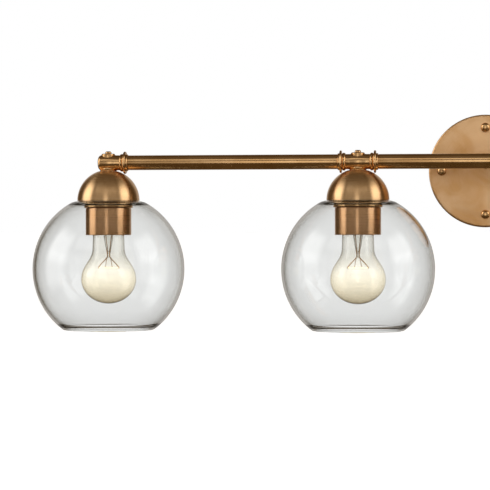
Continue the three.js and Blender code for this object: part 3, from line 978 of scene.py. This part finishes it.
def lamps():
    """The pieces of each lamp: fixed to the light, turning with the bulb, and on its carriage."""
    fixed = [
        ("through_bolt", bolt_mesh(), "brass", "satin_brass"),
        ("dome", dome_mesh(), "dome", "dome_brass"),
        ("globe", globe_mesh(), "glass", "clear_glass"),
        ("shade_ring", ring_mesh(), "brass", "satin_brass"),
        ("socket_cup", cup_mesh(), "cup", "dome_brass"),
        ("socket_body", socket_mesh(), "porcelain", "porcelain"),
        ("screw_shell", screw_shell_mesh(), "socket_brass", "socket_brass"),
    ]
    turning = [
        ("bulb_glass", bulb_glass_mesh(), "bulb", "bulb_glass"),
        ("bulb_base", bulb_base_mesh(), "cap", "bulb_cap"),
        ("bulb_stem", stem_mesh(), "stem", "bulb_stem_glass"),
    ]
    insulator = insulator_mesh()
    tip = tip_mesh()
    wires = support_wires()
    coil = filament_mesh()
    for index in range(len(LAMP_X)):
        number = index + 1
        at = lamp_place(index)
        for name, mesh, material, slot in fixed:
            place(f"{name}_{number}_look", mesh, MATERIALS[material], at,
                  stands_for=[f"{name}_{number}"])
        body = f"bulb_{number}"
        for name, mesh, material, slot in turning:
            place(f"{name}_{number}_look", mesh, MATERIALS[material], at, body,
                  stands_for=[f"{name}_{number}"])
        for count, mesh in enumerate(wires):
            place(f"bulb_wire_{number}_{count}", mesh, MATERIALS["copper"], at, body)
        place(f"filament_{number}", coil, MATERIALS["filament"], at, body)
        carriage = f"bulb_{number}_carriage"
        place(f"bulb_insulator_{number}_look", insulator, MATERIALS["insulator"], at, carriage,
              stands_for=[f"bulb_contact_{number}"])
        place(f"bulb_tip_{number}", tip, MATERIALS["solder"], at, carriage)


# ---------------------------------------------------------------- wiring


def ridged(angle, radius, height):
    """Varies a radius into the ridges of a twist-on connector."""
    return radius * (1 + 0.03 * math.cos(16 * angle)) * 0.97


def wiring():
    """The loom along the bar, a drop into each socket, and two tails to connectors."""
    reach = LAMP_X[-1]
    back = WIRE_OFFSET - BAR_REACH
    runs = [[(-reach, back, BAR_HEIGHT), (reach, back, BAR_HEIGHT)],
            [(0, back, BAR_HEIGHT), (0, LOOM_Y, BAR_HEIGHT)],
            [(-CONNECTOR_SPREAD, LOOM_Y, BAR_HEIGHT), (CONNECTOR_SPREAD, LOOM_Y, BAR_HEIGHT)]]
    runs += [[(x, back, BAR_HEIGHT), (x, back, BAR_HEIGHT + WIRE_END)] for x in LAMP_X]
    for x in (-CONNECTOR_SPREAD, CONNECTOR_SPREAD):
        runs.append([(x, LOOM_Y, BAR_HEIGHT), (x, LOOM_Y, CONNECTOR_BOTTOM + 2)])
    for count, run in enumerate(runs):
        place(f"lead_{count}", tube_along("lead", run, WIRE_RADIUS, 16),
                           MATERIALS["lead"], (0, 0, 0))
    cone = lathe("connector", softened([
        (0, 0),
        (5, 0, 0.5),
        (5, 3, 0.4),
        (4.2, 3.6, 0.3),
        (3, CONNECTOR_HEIGHT, 1.2),
        (0, CONNECTOR_HEIGHT),
    ]), 64, ridged)
    for side in (-1, 1):
        place(f"connector_{side + 2}", cone, MATERIALS["connector"],
              (side * CONNECTOR_SPREAD, LOOM_Y, CONNECTOR_BOTTOM))
    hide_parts("wiring_loom")


# ---------------------------------------------------------------- studio


def smooth_step(tree, value, low, high):
    """0 below low, 1 above high and a smooth rise between."""
    node = tree.nodes.new("ShaderNodeMapRange")
    node.interpolation_type = "SMOOTHSTEP"
    tree.links.new(value, node.inputs["Value"])
    node.inputs["From Min"].default_value = low
    node.inputs["From Max"].default_value = high
    return node.outputs[0]


def window(tree, value, low, high, soft):
    """1 between two edges, fading to 0 over a soft width at each."""
    rise = smooth_step(tree, value, low - soft, low + soft)
    fall = smooth_step(tree, value, high - soft, high + soft)
    return math_node(tree, "SUBTRACT", rise, fall)


# each soft light: azimuth from and to (0 towards the viewer, + to the right), elevation from
# and to, soft edge, strength; all in degrees but the last
SOFT_LIGHTS = [
    (-100, -60, -18, 14, 8, 1.2),
    (-100, -60, 10, 42, 8, 2.0),
    (58, 96, -18, 14, 8, 0.9),
    (58, 98, 10, 42, 8, 2.0),
    (-50, 50, 29, 46, 5, 0.78),
    (-50, 50, -10, 18, 5, 0.32),
    (-6, 6, -14, 16, 4, 1.1),
    (-90, 90, 58, 84, 6, 0.05),
]
BACK_LIGHT = (146, 200, -24, 30, 8, 0.4)
AMBIENT = (0.095, 0.068, 0.036)


def studio_world():
    """Soft lights on a dim warm ground, and plain white where it is looked at or through."""
    world = bpy.data.worlds.new("studio")
    bpy.context.scene.world = world
    world.use_nodes = True
    tree = world.node_tree
    x, y, z = separated(tree, tree.nodes.new("ShaderNodeTexCoord").outputs["Generated"])
    degrees = 180 / math.pi
    azimuth = product(tree, math_node(tree, "ARCTAN2", x, product(tree, y, -1.0)), degrees)
    elevation = product(tree, math_node(tree, "ARCSINE", z), degrees)
    behind = math_node(tree, "ABSOLUTE", azimuth)
    total = 0.0
    lights = [(azimuth, light) for light in SOFT_LIGHTS] + [(behind, BACK_LIGHT)]
    for angle, (left, right, low, high, soft, strength) in lights:
        across = window(tree, angle, left, right, soft)
        up = window(tree, elevation, low, high, soft)
        total = total_of(tree, product(tree, product(tree, across, up), strength), total)
    warmed = tree.nodes.new("ShaderNodeVectorMath")
    warmed.inputs[1].default_value = AMBIENT
    tree.links.new(total, warmed.inputs[0])
    background = tree.nodes["Background"]
    tree.links.new(warmed.outputs[0], background.inputs["Color"])
    plain = tree.nodes.new("ShaderNodeBackground")
    plain.inputs["Color"].default_value = (1, 1, 1, 1)
    path = tree.nodes.new("ShaderNodeLightPath")
    straight = math_node(tree, "MAXIMUM", path.outputs["Is Camera Ray"],
                         path.outputs["Is Transmission Ray"])
    bounces = total_of(tree, path.outputs["Glossy Depth"], path.outputs["Diffuse Depth"])
    seen = product(tree, straight, math_node(tree, "LESS_THAN", bounces, 0.5))
    choose = tree.nodes.new("ShaderNodeMixShader")
    tree.links.new(seen, choose.inputs[0])
    tree.links.new(background.outputs[0], choose.inputs[1])
    tree.links.new(plain.outputs[0], choose.inputs[2])
    tree.links.new(choose.outputs[0], tree.nodes["World Output"].inputs["Surface"])


def floor():
    """A plain pale floor well below the globes, lit as evenly as the background, in metres."""
    size, height = 60.0, -0.42
    mesh = bpy.data.meshes.new("floor")
    corners = [(-size, -size, 0), (size, -size, 0), (size, size, 0), (-size, size, 0)]
    mesh.from_pydata(corners, [], [(0, 1, 2, 3)])
    material, tree, principled = shader("floor", Roughness=0.9, Emission_Strength=0.75)
    principled.inputs["Emission Color"].default_value = (1, 1, 1, 1)
    cloud = noise(tree, object_coordinates(tree), scale=3, detail=2)
    tree.links.new(ramp(tree, cloud, [(0.3, (0.9, 0.9, 0.9)), (0.7, (0.93, 0.93, 0.93))]),
                   principled.inputs["Base Color"])
    mesh.materials.append(material)
    plane = bpy.data.objects.new("floor", mesh)
    plane.location = (0, 0, height)
    plane.visible_glossy = False
    plane.visible_diffuse = False
    plane.visible_transmission = False
    bpy.context.scene.collection.objects.link(plane)


def camera():
    """A long lens in front of the middle, a little below the bar, turned to the left end."""
    data = bpy.data.cameras.new("camera")
    data.lens = 151.0
    data.sensor_width = 36.0
    data.clip_end = 200.0
    eye = bpy.data.objects.new("camera", data)
    eye.location = (0.0, -2.310, -0.055)
    yaw, pitch, roll = math.radians(6.67), math.radians(0.665), math.radians(0.1)
    eye.rotation_euler = (math.pi / 2 - pitch, roll, yaw)
    bpy.context.scene.collection.objects.link(eye)
    bpy.context.scene.camera = eye


# ---------------------------------------------------------------- the whole scene


def steel_bracket():
    """The CAD's own bracket, in plated steel."""
    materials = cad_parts["mounting_bracket"].data.materials
    materials.clear()
    materials.append(MATERIALS["steel"])


canopy()
knobs()
arm()
locknut()
steel_bracket()
bars()
fittings()
lamps()
wiring()
studio_world()
floor()
camera()
bpy.context.scene.view_settings.view_transform = "Standard"
